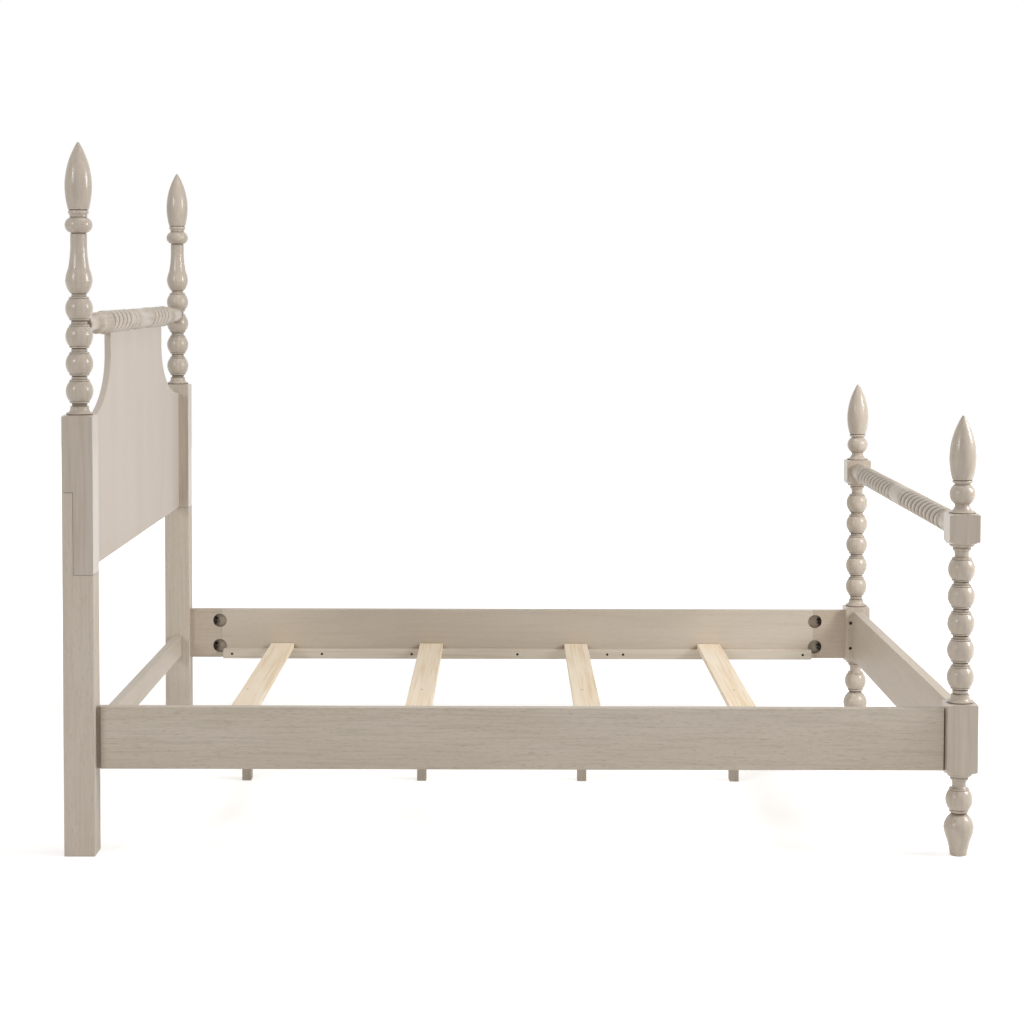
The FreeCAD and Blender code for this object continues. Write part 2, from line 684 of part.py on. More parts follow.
# ---------------------------------------------------------------------------
# Bolts between rails and posts, and the holes that they need
# ---------------------------------------------------------------------------
post_face = size.clear_length / 2
stud_end = post_face + size.insert_length
moon_face = post_face - size.pocket_place + size.pocket_radius - size.fit_gap - size.moon_thickness
pocket_depth = size.block_depth
pocket_y = rail_face + pocket_depth / 2
studs = []
insert_blanks = []
barrel_blanks = []
moon_blanks = []
nut_blanks = []
thread_bores = []
play_bores = {}
anchor_holes = {}
pockets = {}
barrel_start = size.clear_width / 2 - size.edge_ease
barrel_end = post_y + size.barrel_length / 2 + size.fit_gap
for end, along in ENDS.items():
    for side, across in SIDES.items():
        corner = f"{end}_{side}"
        play_bores[corner] = []
        anchor_holes[corner] = []
        pockets[corner] = []
        for level, height in enumerate(stud_heights, 1):
            tag = f"{corner}_{level}"
            stud_y = post_y * across
            stud_x = (stud_end - size.stud_length / 2) * along
            insert_x = (post_face + size.insert_length / 2) * along
            pocket_x = (post_face - size.pocket_place) * along
            nut_x = (moon_face - size.nut_height / 2) * along
            studs.append(rod(f"stud_{tag}", ALONG_X, stud_x, stud_y, height,
                             size.stud_radius, size.stud_length))
            thread_bores.append(rod(f"thread_{tag}", ALONG_X, stud_x, stud_y, height,
                                    size.stud_radius + size.fit_gap, size.stud_length * 2))
            play_bores[corner].append(rod(f"play_{tag}", ALONG_X, stud_x, stud_y, height,
                                          size.stud_radius + size.stud_play, size.stud_length))
            if end == "head":
                insert_blanks.append(rod(f"insert_{tag}", ALONG_X, insert_x, stud_y, height,
                                         size.insert_radius, size.insert_length))
                anchor_holes[corner].append(rod(f"insert_hole_{tag}", ALONG_X, insert_x, stud_y, height,
                                                size.insert_radius, size.insert_length))
            else:
                barrel_x = post_face + size.barrel_place
                barrel_blanks.append(rod(f"barrel_{tag}", ALONG_Y, barrel_x, stud_y, height,
                                         size.barrel_radius, size.barrel_length))
                hole_y = (barrel_start + barrel_end) / 2 * across
                anchor_holes[corner].append(rod(f"barrel_hole_{tag}", ALONG_Y, barrel_x, hole_y, height,
                                                size.barrel_radius + size.fit_gap,
                                                barrel_end - barrel_start))
                anchor_holes[corner].append(play_bores[corner][-1])
            pockets[corner].append(rod(f"pocket_{tag}", ALONG_Y, pocket_x, pocket_y * across, height,
                                       size.pocket_radius, pocket_depth))
            disc = rod(f"moon_disc_{tag}", ALONG_Y, pocket_x, stud_y, height,
                       size.pocket_radius - size.fit_gap, size.moon_height)
            slice_x = (moon_face + size.moon_thickness / 2) * along
            slab = box(f"moon_slab_{tag}", slice_x, stud_y, height - size.pocket_radius,
                       size.moon_thickness, size.moon_height, size.pocket_radius * 2)
            moon = doc.addObject("Part::Common", f"moon_{tag}")
            moon.Base = disc
            moon.Tool = slab
            moon_blanks.append(moon)
            nut = doc.addObject("Part::Prism", f"nut_{tag}")
            nut.Polygon = 6
            bind(nut, Circumradius=size.nut_radius, Height=size.nut_height)
            place(nut, nut_x - size.nut_height / 2, stud_y, height, ALONG_X)
            nut_blanks.append(nut)

all_play = joined("all_play_bores", [bore for corner in play_bores.values() for bore in corner])
group("bed_studs", studs)
node("stud_inserts", cut("stud_inserts", joined("insert_blanks", insert_blanks), thread_bores))
node("barrel_nuts", cut("barrel_nuts", joined("barrel_blanks", barrel_blanks), thread_bores))
node("hex_nuts", cut("hex_nuts", joined("nut_blanks", nut_blanks), thread_bores))
node("half_moon_washers", cut("half_moon_washers", joined("moon_blanks", moon_blanks), [all_play]))

# ---------------------------------------------------------------------------
# Head: leg, post, lap bolts
# ---------------------------------------------------------------------------
panel_groove = size.panel_thickness + size.fit_gap * 2
panel_reach = size.clear_width / 2 + size.groove_depth
curve_top = size.head_rail_height - size.panel_curve_fall
curve_bottom = curve_top - size.panel_curve_drop
tenon_end = post_y - size.neck_radius + size.head_tenon_depth
dowel_depth = size.dowel_length / 2 + size.fit_gap
head_seat = -(post_x + half_post - size.lap_head_recess - size.lap_head_height)
lap_bolts = []
lap_washers = []
lap_inserts = []
finial_pins = []
pin_holes = {}
for end, along in ENDS.items():
    for side, across in SIDES.items():
        joint = finial_joints[end]
        corner = f"{end}_{side}"
        finial_pins.append(rod(f"pin_{corner}", UP, post_x * along, post_y * across, joint,
                               size.pin_radius, size.pin_length))
        pin_holes[corner] = rod(f"pin_hole_{corner}", UP, post_x * along, post_y * across, joint,
                                size.pin_radius + size.fit_gap, size.pin_length + size.fit_gap * 2)


def dowel_pair(name, along, across, heights, extra):
    """Dowels, or with extra the holes for them, across the joint of a board and a post."""
    return [
        rod(f"{name}_{number}", ALONG_Y, post_x * along, (size.clear_width / 2) * across, height,
            size.dowel_radius + extra, size.dowel_length + extra * 2)
        for number, height in enumerate(heights, 1)
    ]


stretcher_heights = [
    size.stretcher_bottom + size.dowel_inset,
    size.stretcher_bottom + size.stretcher_height - size.dowel_inset,
]
board_heights = [
    size.rail_bottom + size.board_dowel_inset,
    size.rail_bottom + size.rail_height - size.board_dowel_inset,
]
stretcher_dowels = []
stretcher_holes = {}
board_dowels = []
board_holes = {}
for side, across in SIDES.items():
    stretcher_dowels += dowel_pair(f"stretcher_dowel_{side}", -1, across, stretcher_heights, 0)
    stretcher_holes[side] = dowel_pair(f"stretcher_hole_{side}", -1, across, stretcher_heights,
                                       size.fit_gap)
    board_dowels += dowel_pair(f"board_dowel_{side}", 1, across, board_heights, 0)
    board_holes[side] = dowel_pair(f"board_hole_{side}", 1, across, board_heights, size.fit_gap)

for side, across in SIDES.items():
    y = post_y * across
    bolt_tools = []
    insert_tools = []
    for level, height in enumerate(lap_bolt_heights, 1):
        tag = f"{side}_{level}"
        shank_x = head_seat + size.lap_bolt_length / 2
        shank = rod(f"lap_shank_{tag}", ALONG_X, shank_x, y, height,
                    size.lap_bolt_radius, size.lap_bolt_length)
        cap = rod(f"lap_cap_{tag}", ALONG_X, head_seat - size.lap_head_height / 2, y, height,
                  size.lap_head_radius, size.lap_head_height)
        lap_bolts.append(joined(f"lap_bolt_{tag}", [shank, cap]))
        washer_x = head_seat + size.washer_thickness / 2
        disc = rod(f"lap_washer_disc_{tag}", ALONG_X, washer_x, y, height,
                   size.washer_radius, size.washer_thickness)
        bore = rod(f"lap_bore_{tag}", ALONG_X, shank_x, y, height,
                   size.lap_bolt_radius + size.fit_gap, size.lap_bolt_length * 2)
        lap_washers.append(cut(f"lap_washer_{tag}", disc, [bore]))
        insert_x = lap_face + size.insert_length / 2
        sleeve = rod(f"lap_sleeve_{tag}", ALONG_X, insert_x, y, height,
                     size.insert_radius, size.insert_length)
        lap_inserts.append(cut(f"lap_insert_{tag}", sleeve, [bore]))
        sink = size.lap_head_recess + size.lap_head_height + size.washer_thickness
        bolt_tools += [
            rod(f"lap_sink_{tag}", ALONG_X, head_seat + size.washer_thickness - sink / 2, y, height,
                size.washer_radius + size.fit_gap, sink),
            rod(f"lap_play_{tag}", ALONG_X, tongue_x, y, height,
                size.lap_bolt_radius + size.stud_play, size.tongue_thickness * 2),
        ]
        insert_tools.append(rod(f"lap_insert_hole_{tag}", ALONG_X, insert_x, y, height,
                                size.insert_radius, size.insert_length))
    # square leg with a thin tongue at its back
    blank = board(f"head_leg_{side}_blank", -post_x, y, as_size(0), size.post_side, size.post_side,
                  lap_top)
    front = size.post_side - size.tongue_thickness
    lap_cut = box(f"leg_lap_{side}", lap_face + front / 2 + size.edge_ease, y, size.lap_bottom,
                  front + size.edge_ease * 2, size.post_side * 2, size.lap_height * 2)
    node(f"head_leg_{side}", cut(
        f"head_leg_{side}", blank,
        [lap_cut] + bolt_tools + anchor_holes[f"head_{side}"] + stretcher_holes[side],
    ))
    # turned post, notched at its back for the tongue
    blank = turned(f"head_post_{side}_blank", head_outline, -post_x, y, 0)
    square_off(blank, head_joint + size.post_side)
    notch = box(f"post_notch_{side}", tongue_x - size.edge_ease, y, size.lap_bottom - size.lap_height,
                size.tongue_thickness + size.edge_ease * 2, size.post_side * 2,
                size.lap_height * 2 + size.lap_gap)
    lap_lines = [
        box(f"lap_line_{side}_{place_name}", lap_face, y + half_post * outward, size.lap_bottom,
            size.lap_gap * 2, size.lap_line_depth * 2, size.lap_height + size.lap_gap)
        for place_name, outward in SIDES.items()
    ]
    slot_depth = size.groove_depth + size.fit_gap
    slot_y = (size.clear_width / 2 + slot_depth / 2) * across
    slot = box(f"post_slot_{side}", -post_x, slot_y, size.lap_bottom - size.panel_thickness,
               panel_groove, slot_depth,
               curve_bottom - size.lap_bottom + size.panel_thickness + size.fit_gap * 2)
    socket_reach = size.post_side
    socket_y = (tenon_end + size.fit_gap - socket_reach / 2) * across
    socket = rod(f"head_socket_{side}", ALONG_Y, -post_x, socket_y, size.head_rail_height,
                 size.head_tenon_radius + size.fit_gap, socket_reach)
    node(f"head_post_{side}", cut(
        f"head_post_{side}", blank,
        [notch, slot, socket, pin_holes[f"head_{side}"]] + lap_lines + insert_tools,
    ))
group("lap_bolts", lap_bolts)
group("lap_washers", lap_washers)
group("lap_inserts", lap_inserts)

# ---------------------------------------------------------------------------
# Head: panel, top rail, stretcher
# ---------------------------------------------------------------------------
panel_top = size.head_rail_height - size.head_rope_radius + size.groove_depth
panel_blank = box("head_panel_blank", -post_x, as_size(0), size.panel_bottom, size.panel_thickness,
                  panel_reach * 2, panel_top - size.panel_bottom)
panel_tools = []
for side, across in SIDES.items():
    outside = size.clear_width / 2
    flank_width = outside - size.panel_neck / 2
    flank_y = (size.panel_neck / 2 + flank_width) * across
    panel_tools.append(box(f"panel_flank_{side}", -post_x, flank_y, curve_top,
                           size.panel_thickness * 2, flank_width * 2, size.head_rail_height))
    hollow = doc.addObject("Part::Ellipse", f"panel_hollow_{side}")
    bind(hollow, MajorRadius=flank_width, MinorRadius=size.panel_curve_drop)
    place(hollow, -post_x - size.panel_thickness, outside * across, curve_top,
          Rotation(Vector(0, 1, 0), Vector(0, 0, 1), Vector(1, 0, 0), "XYZ"))
    carve = doc.addObject("Part::Extrusion", f"panel_carve_{side}")
    carve.Base = hollow
    carve.DirMode = "Normal"
    carve.Solid = True
    bind(carve, LengthFwd=size.panel_thickness * 2)
    panel_tools.append(carve)
node("head_panel", cut("head_panel", panel_blank, panel_tools))

head_collar_end = post_y - size.bead_radius - size.head_rail_clear
head_collar_start = head_collar_end - size.head_rail_collar_width
rope_end = size.head_rope_start + size.head_rope_length
ring_end = rope_end + size.rail_groove_width + size.head_ring_width
ball_near = size.head_rail_ball_place - size.head_rail_ball_half
ball_far = size.head_rail_ball_place + size.head_rail_ball_half
barrel_groove = size.head_groove_place
head_rail_half = [
    (size.head_barrel_radius, barrel_groove, None),
    (size.head_rail_groove, barrel_groove + size.rail_groove_width / 2, None),
    (size.head_barrel_radius, barrel_groove + size.rail_groove_width, None),
    (size.head_barrel_radius, size.head_rope_start - size.rail_groove_width, None),
    (size.head_rail_groove, size.head_rope_start - size.rail_groove_width / 2, None),
    (size.head_rope_radius, size.head_rope_start, None),
    (size.head_rope_radius, rope_end, None),
    (size.head_rail_groove, rope_end + size.rail_groove_width / 2, None),
    (size.head_barrel_radius, rope_end + size.rail_groove_width, None),
    (size.head_barrel_radius, ring_end, size.head_rope_radius - size.head_barrel_radius),
    (size.head_rail_neck, ball_near, -size.hollow_depth * 2),
    (size.head_rail_neck, ball_far, size.head_rail_ball - size.head_rail_neck),
    (size.head_rail_neck, ball_far + size.head_rail_taper_gap, None),
    (size.head_rail_end_radius, head_collar_start, size.hollow_depth),
    (size.head_rail_collar - size.collar_bulge, head_collar_start, None),
    (size.head_rail_collar - size.collar_bulge, head_collar_end, size.collar_bulge),
    (size.head_tenon_radius, head_collar_end, None),
    (size.head_tenon_radius, tenon_end, None),
]
rail_blank = turned("head_top_rail_blank", both_ways(tenon_end, head_rail_half),
                    -post_x, -tenon_end, size.head_rail_height, ALONG_Y)
rail_slot = box("head_rail_slot", -post_x, as_size(0), size.head_rail_height - size.head_rope_radius * 2,
                panel_groove, size.panel_neck + size.fit_gap * 2,
                size.head_rope_radius + size.groove_depth + size.fit_gap)
node("head_top_rail", cut("head_top_rail", rail_blank, [rail_slot]))

stretcher = board("head_stretcher_blank", -post_x, as_size(0), size.stretcher_bottom,
                  size.stretcher_thickness, size.clear_width, size.stretcher_height)
node("head_stretcher", cut("head_stretcher", stretcher,
                           stretcher_holes["near"] + stretcher_holes["far"]))
group("stretcher_dowels", stretcher_dowels)

# ---------------------------------------------------------------------------
# Foot: posts, top rail, low board
# ---------------------------------------------------------------------------
foot_rail_end = size.clear_width / 2
foot_tenon_end = foot_rail_end + size.foot_tenon_depth
for side, across in SIDES.items():
    blank = turned(f"foot_post_{side}_blank", foot_outline, post_x, post_y * across, 0)
    square_off(blank, foot_joint + size.post_side)
    socket = rod(f"foot_socket_{side}", ALONG_Y, post_x, foot_rail_end * across, foot_rail_height,
                 size.foot_tenon_radius + size.fit_gap, (size.foot_tenon_depth + size.fit_gap) * 2)
    node(f"foot_post_{side}", cut(
        f"foot_post_{side}", blank,
        [socket, pin_holes[f"foot_{side}"]] + anchor_holes[f"foot_{side}"] + board_holes[side],
    ))

foot_rope_end = foot_rail_end - size.foot_rope_end
foot_ring_end = foot_rope_end + size.rail_groove_width + size.rail_ring_width
foot_rail_half = [
    (size.foot_rail_barrel, size.foot_rope_start - size.rail_groove_width, None),
    (size.foot_rail_groove, size.foot_rope_start - size.rail_groove_width / 2, None),
    (size.foot_rail_rope, size.foot_rope_start, None),
    (size.foot_rail_rope, foot_rope_end, None),
    (size.foot_rail_groove, foot_rope_end + size.rail_groove_width / 2, None),
    (size.foot_rail_barrel, foot_rope_end + size.rail_groove_width, None),
    (size.foot_rail_barrel, foot_ring_end, size.foot_rail_rope - size.foot_rail_barrel),
    (size.foot_rail_groove, foot_ring_end + size.rail_groove_width / 2, None),
    (size.foot_rail_collar, foot_ring_end + size.rail_groove_width, None),
    (size.foot_rail_collar, foot_rail_end, None),
    (size.foot_tenon_radius, foot_rail_end, None),
    (size.foot_tenon_radius, foot_tenon_end, None),
]
node("foot_top_rail", turned("foot_top_rail", both_ways(foot_tenon_end, foot_rail_half),
                             post_x, -foot_tenon_end, foot_rail_height, ALONG_Y))
low_board = board("foot_low_board_blank", post_x, as_size(0), size.rail_bottom,
                  size.low_board_thickness, size.clear_width, size.rail_height)
node("foot_low_board", cut("foot_low_board", low_board, board_holes["near"] + board_holes["far"]))
group("foot_board_dowels", board_dowels)

# ---------------------------------------------------------------------------
# Finials
# ---------------------------------------------------------------------------
for end, along in ENDS.items():
    for side, across in SIDES.items():
        joint = finial_joints[end]
        name = f"{end}_finial_{side}"
        blank = turned(name + "_blank", finial_outlines[end], post_x * along, post_y * across, joint)
        node(name, cut(name, blank, [pin_holes[f"{end}_{side}"]]))
group("finial_pins", finial_pins)


# ---------------------------------------------------------------------------
# Side rails, end blocks, ledgers
# ---------------------------------------------------------------------------
def screw(name, x, y, z, turn, length, extra):
    """A countersunk wood screw from its head's face at x, y, z, or with extra its hole."""
    shank = doc.addObject("Part::Cylinder", name + "_shank")
    bind(shank, Radius=size.screw_radius + extra, Height=length + extra)
    place(shank, x, y, z, turn)
    head = doc.addObject("Part::Cone", name + "_head")
    bind(head, Radius1=size.screw_head_radius + extra, Radius2=size.screw_radius + extra,
         Height=size.screw_head_height)
    place(head, x, y, z, turn)
    return joined(name, [shank, head])


screw_height = slat_bottom - size.ledger_screw_drop
screw_places = [
    size.screw_group_place * group_along + size.screw_spacing * step
    for group_along in (-1, 0, 1)
    for step in (-1, 0, 1)
]
rail_length = size.clear_length - size.rail_head_gap - size.rail_foot_gap
rail_x = (size.rail_head_gap - size.rail_foot_gap) / 2
for side, across in SIDES.items():
    outward = ALONG_Y if across > 0 else AGAINST_Y
    screws = []
    screw_holes = []
    for number, screw_x in enumerate(screw_places, 1):
        spot = (screw_x, ledger_face * across, screw_height, outward, size.ledger_screw_length)
        screws.append(screw(f"ledger_screw_{side}_{number}", *spot, as_size(0)))
        screw_holes.append(screw(f"ledger_hole_{side}_{number}", *spot, size.fit_gap))
    group(f"ledger_screws_{side}", screws)
    blank = board(f"ledger_{side}_blank", as_size(0), (ledger_face + size.ledger_thickness / 2) * across,
                  size.rail_bottom, size.ledger_length, size.ledger_thickness, size.ledger_height)
    node(f"ledger_{side}", cut(f"ledger_{side}", blank, screw_holes))

    rail_tools = list(screw_holes)
    block_y = (rail_face + size.block_depth / 2) * across
    for end, along in ENDS.items():
        block_x = (post_face - size.block_length / 2) * along
        corner = f"{end}_{side}"
        rail_tools.append(box(f"recess_{corner}", block_x - size.block_seam / 2 * along,
                              block_y - size.rail_thickness * across / 2,
                              size.rail_bottom - size.rail_height / 2,
                              size.block_length + size.block_seam,
                              size.block_depth + size.rail_thickness, size.rail_height * 2))
        rail_tools += pockets[corner]
        blank = box(f"{end}_block_{side}_blank", block_x, block_y, size.rail_bottom,
                    size.block_length, size.block_depth, size.rail_height)
        node(f"{end}_block_{side}", cut(f"{end}_block_{side}", blank,
                                        pockets[corner] + play_bores[corner]))
    blank = board(f"side_rail_{side}_blank", rail_x, post_y * across, size.rail_bottom,
                  rail_length, size.rail_thickness, size.rail_height)
    node(f"side_rail_{side}", cut(f"side_rail_{side}", blank, rail_tools))

# ---------------------------------------------------------------------------
# Slats on the ledgers, and their centre legs
# ---------------------------------------------------------------------------
slat_length = (rail_face - size.slat_end_gap) * 2
slat_places = [size.slat_1_place, size.slat_2_place, size.slat_3_place, size.slat_4_place]
leg_shifts = [size.centre_leg_1_shift, 0, size.centre_leg_3_shift, 0]
leg_screws = []
for number, (slat_x, shift) in enumerate(zip(slat_places, leg_shifts), 1):
    leg_x = slat_x + shift
    spot = (leg_x, as_size(0), slat_top, DOWN, size.leg_screw_length)
    leg_screws.append(screw(f"centre_leg_screw_{number}", *spot, as_size(0)))
    hole = screw(f"centre_leg_hole_{number}", *spot, size.fit_gap)
    slat = board(f"slat_{number}_blank", slat_x, as_size(0), slat_bottom,
                 size.slat_width, slat_length, size.slat_thickness)
    node(f"slat_{number}", cut(f"slat_{number}", slat, [hole]))
    leg = board(f"centre_leg_{number}_blank", leg_x, as_size(0), as_size(0),
                size.centre_leg_length, size.centre_leg_width, slat_bottom)
    node(f"centre_leg_{number}", cut(f"centre_leg_{number}", leg, [hole]))
group("centre_leg_screws", leg_screws)

# ---------------------------------------------------------------------------
# Build, check and write one file for each node
# ---------------------------------------------------------------------------
doc.recompute()
for thing in doc.Objects:
    if "Invalid" in thing.State or "Error" in thing.State:
        raise RuntimeError(f"{thing.Label} could not be built: {thing.State}")
for thing in nodes:
    if thing.Shape.isNull() or not thing.Shape.isValid():
        raise RuntimeError(f"{thing.Label} has no valid shape")

os.makedirs("parts", exist_ok=True)
for thing in nodes:
    thing.Shape.exportStep(f"parts/{thing.Label}.step")
    print(f"{thing.Label}: {len(thing.Shape.Solids)} solid(s), {thing.Shape.Volume / 1000:.1f} cm3")
print(f"{len(nodes)} nodes written")
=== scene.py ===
"""Looks of the spindle bed: washed oak, pale pine slats, zinc-plated and blackened steel."""
import math

import bpy
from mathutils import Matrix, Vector


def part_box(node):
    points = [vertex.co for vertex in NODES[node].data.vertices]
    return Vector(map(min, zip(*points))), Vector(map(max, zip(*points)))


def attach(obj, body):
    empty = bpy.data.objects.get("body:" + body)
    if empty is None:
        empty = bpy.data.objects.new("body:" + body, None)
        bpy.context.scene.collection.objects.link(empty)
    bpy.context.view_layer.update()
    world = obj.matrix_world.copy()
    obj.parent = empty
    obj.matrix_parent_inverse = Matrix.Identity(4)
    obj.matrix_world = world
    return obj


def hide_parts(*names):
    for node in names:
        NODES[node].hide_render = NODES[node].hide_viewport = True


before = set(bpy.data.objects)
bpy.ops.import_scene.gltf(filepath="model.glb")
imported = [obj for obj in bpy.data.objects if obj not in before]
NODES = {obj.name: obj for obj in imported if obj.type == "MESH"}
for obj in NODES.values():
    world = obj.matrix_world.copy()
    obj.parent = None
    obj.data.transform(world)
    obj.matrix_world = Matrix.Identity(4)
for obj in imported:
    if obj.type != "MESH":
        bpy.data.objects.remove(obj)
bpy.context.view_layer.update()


# --- Camera ---------------------------------------------------------------------------------
# The view of the photograph: a long lens in front of the near side rail, 1.4 m above the floor
# and tilted a little down. The picture is taken as 1024 by 1024 pixels.
PICTURE = 1024
FOCAL_PIXELS = 2149.7
SENSOR = 36.0
VIEW_CENTRE = (505.96, 376.92)
CAMERA_PLACE = (-0.0387, -5.987, 1.401)
CAMERA_DOWN = 2.562
CAMERA_ROLL = -0.129

camera_data = bpy.data.cameras.new("camera")
camera_data.sensor_width = SENSOR
camera_data.lens = FOCAL_PIXELS * SENSOR / PICTURE
camera_data.shift_x = (PICTURE / 2 - VIEW_CENTRE[0]) / PICTURE
camera_data.shift_y = (VIEW_CENTRE[1] - PICTURE / 2) / PICTURE
camera = bpy.data.objects.new("camera", camera_data)
camera.location = CAMERA_PLACE
camera.rotation_euler = (math.radians(90 - CAMERA_DOWN), math.radians(CAMERA_ROLL), 0)
bpy.context.collection.objects.link(camera)
bpy.context.scene.camera = camera
bpy.context.scene.view_settings.view_transform = "Standard"


# --- Rails, boards, panel and square legs ---------------------------------------------------
# These are flat-sawn oak boards. A grey-beige wash lies in the open pores, and a satin lacquer
# covers it, so the grain shows fine, dark and low in contrast, along each board.
def linear(colour):
    """Turn an sRGB hex colour into linear values."""
    parts = [int(colour[start:start + 2], 16) / 255 for start in (1, 3, 5)]
    return [c / 12.92 if c <= 0.04045 else ((c + 0.055) / 1.055) ** 2.4 for c in parts] + [1.0]


def add(tree, kind, inputs=(), **settings):
    """Add one node. settings are its properties. inputs are its sockets' values or links, as a
    list in the sockets' order or a dict by name, and a node stands for its first output."""
    made = tree.nodes.new(kind if "Node" in kind else "ShaderNode" + kind)
    for name, value in settings.items():
        setattr(made, name, value)
    sockets = [socket for socket in made.inputs if socket.enabled]
    if isinstance(inputs, dict):
        named = {socket.name: socket for socket in sockets}
        sockets = [named[name] for name in inputs]
        inputs = inputs.values()
    for socket, value in zip(sockets, inputs):
        if isinstance(value, bpy.types.Node):
            value = next(output for output in value.outputs if output.enabled)
        if isinstance(value, bpy.types.NodeSocket):
            tree.links.new(value, socket)
        else:
            socket.default_value = value
    return made


def new_material(name):
    """A material, its empty tree and the object's own coordinates."""
    material = bpy.data.materials.new(name)
    material.use_nodes = True
    tree = material.node_tree
    tree.nodes.clear()
    return material, tree, add(tree, "TexCoord").outputs["Object"]


def stretch(grain, along, across, seed):
    """Mapping values that make a spot `along` metres long on the grain axis and `across` wide."""
    return {"Scale": [1 / along if axis == grain else 1 / across for axis in "XYZ"],
            "Location": [seed * step for step in SEED_STEPS]}


def oak(name, grain, base, dark, pale, ring, figure, seed):
    """Flat-sawn washed oak. ring is the spacing of the growth lines, figure how dark they are."""
    material, tree, place = new_material(name)
    wide = add(tree, "Mapping", {"Vector": place, **stretch(grain, *WAVER, seed)})
    waver = add(tree, "TexNoise", {"Vector": wide, "Scale": 1.0, "Detail": 2.0, "Roughness": 0.5})
    lean = add(tree, "VectorMath", [waver.outputs["Color"], MID_GREY], operation="SUBTRACT")
    bend = add(tree, "VectorMath", [lean, BEND], operation="SCALE")
    bent = add(tree, "VectorMath", [place, bend], operation="ADD")
    long = add(tree, "Mapping", {"Vector": bent, **stretch(grain, LINE_LENGTH, ring, seed + 3)})
    lines = add(tree, "TexNoise", {"Vector": long, "Scale": 1.0, "Detail": 1.5, "Roughness": 0.45})
    growth = add(tree, "MapRange", {"Value": lines, "From Min": 0.42, "From Max": 0.75},
                 interpolation_type="SMOOTHSTEP")
    fine = add(tree, "Mapping", {"Vector": bent, **stretch(grain, *PORE, seed + 7)})
    pores = add(tree, "TexNoise", {"Vector": fine, "Scale": 1.0, "Detail": 2.0, "Roughness": 0.6})
    pore = add(tree, "MapRange", {"Value": pores, "From Min": 0.54, "From Max": 0.7},
               interpolation_type="SMOOTHSTEP")
    broad = add(tree, "Mapping", {"Vector": place, **stretch(grain, *PATCH, seed + 11)})
    patches = add(tree, "TexNoise", {"Vector": broad, "Scale": 1.0, "Detail": 2.0})
    cloud = add(tree, "MapRange", {"Value": patches, "From Min": 0.35, "From Max": 0.7},
                interpolation_type="SMOOTHSTEP")
    ground = add(tree, "Mix", [cloud, linear(base), linear(pale)], data_type="RGBA")
    lined = add(tree, "Math", [growth, figure * LINE_SHARE], operation="MULTIPLY")
    grained = add(tree, "Mix", [lined, ground, linear(dark)], data_type="RGBA")
    dotted = add(tree, "Math", [pore, figure * PORE_SHARE], operation="MULTIPLY")
    washed = add(tree, "Mix", [dotted, grained, linear(dark)], data_type="RGBA")
    # Painted shade: ambient occlusion darkens recesses, such as the bolt pockets, towards a dark
    # brown.
    recess = add(tree, "AmbientOcclusion", {"Distance": 0.035}, samples=8).outputs["AO"]
    shade = add(tree, "MapRange", {"Value": recess, "From Min": 0.5, "From Max": 0.1},
                interpolation_type="SMOOTHSTEP")
    colour = add(tree, "Mix", [shade, washed, linear(OAK_PAINTED_SHADE)], data_type="RGBA")
    relief = add(tree, "Math", [growth, LINE_RELIEF, pore], operation="MULTIPLY_ADD")
    bump = add(tree, "Bump", {"Height": relief, "Strength": figure, "Distance": 0.0004},
               invert=True)
    gloss = add(tree, "MapRange", {"Value": pores, "To Min": 0.42, "To Max": 0.6})
    shader = add(tree, "BsdfPrincipled", {
        "Base Color": colour, "Normal": bump, "Roughness": gloss, "IOR": 1.5,
        "Specular IOR Level": 0.28, "Coat Weight": 0.04, "Coat Roughness": 0.3})
    add(tree, "OutputMaterial", [shader])
    return material


def finish(material, *names):
    """Give a finish to every node whose name starts with one of these words."""
    for name, thing in NODES.items():
        if name.startswith(names):
            thing.data.materials.clear()
            thing.data.materials.append(material)


# Sizes of the grain along and across the board, in metres: its slow bends, its growth lines,
# its pores and the paler patches of wash. Real pores are about 0.3 mm wide. They are drawn
# coarser, 1.8 mm wide, so that they show in the render.
WAVER = (0.55, 0.09)
LINE_LENGTH = 0.2
PORE = (0.02, 0.0018)
PATCH = (0.9, 0.16)

# BEND is how far the grain bends aside, in metres. The shares scale a finish's figure for the
# growth lines and for the pores, and the relief is the lines' depth as a share of the pores'.
BEND = 0.03
MID_GREY = (0.5, 0.5, 0.5)
SEED_STEPS = (1.0, 1.7, 0.6)
LINE_SHARE = 0.7
PORE_SHARE = 1.3
LINE_RELIEF = 0.5
OAK_BASE = "#C4B8A8"
OAK_DARK = "#998B79"
OAK_PALE = "#CBC0B2"
# This colour is painted shade, laid into the boards' recesses.
OAK_PAINTED_SHADE = "#5E4E40"

# On the face of a flat-sawn board the growth lines are 4 to 12 mm apart. The near rail shows
# the strongest grain. The other boards are plainer, and the thin panel is nearly even in tone.
rail_oak = oak("washed_oak_rails", "X", OAK_BASE, OAK_DARK, OAK_PALE,
               ring=0.0048, figure=0.34, seed=1.3)
far_rail_oak = oak("washed_oak_far_rail", "X", OAK_BASE, OAK_DARK, OAK_PALE,
                   ring=0.009, figure=0.16, seed=7.3)
cross_oak = oak("washed_oak_cross_boards", "Y", OAK_BASE, OAK_DARK, OAK_PALE,
                ring=0.0065, figure=0.17, seed=4.1)
leg_oak = oak("washed_oak_legs", "Z", "#C8BCAD", OAK_DARK, "#CFC4B6",
              ring=0.007, figure=0.22, seed=8.6)
panel_oak = oak("washed_oak_panel", "Z", "#C6BAAE", OAK_DARK, "#CABEB2",
                ring=0.012, figure=0.05, seed=5.4)
block_oak = oak("washed_oak_end_blocks", "X", "#B9AA99", OAK_DARK, "#C1B3A3",
                ring=0.008, figure=0.25, seed=9.7)
finish(rail_oak, "side_rail_near")
finish(far_rail_oak, "side_rail_far")
finish(block_oak, "head_block", "foot_block")
finish(cross_oak, "head_stretcher", "foot_low_board")
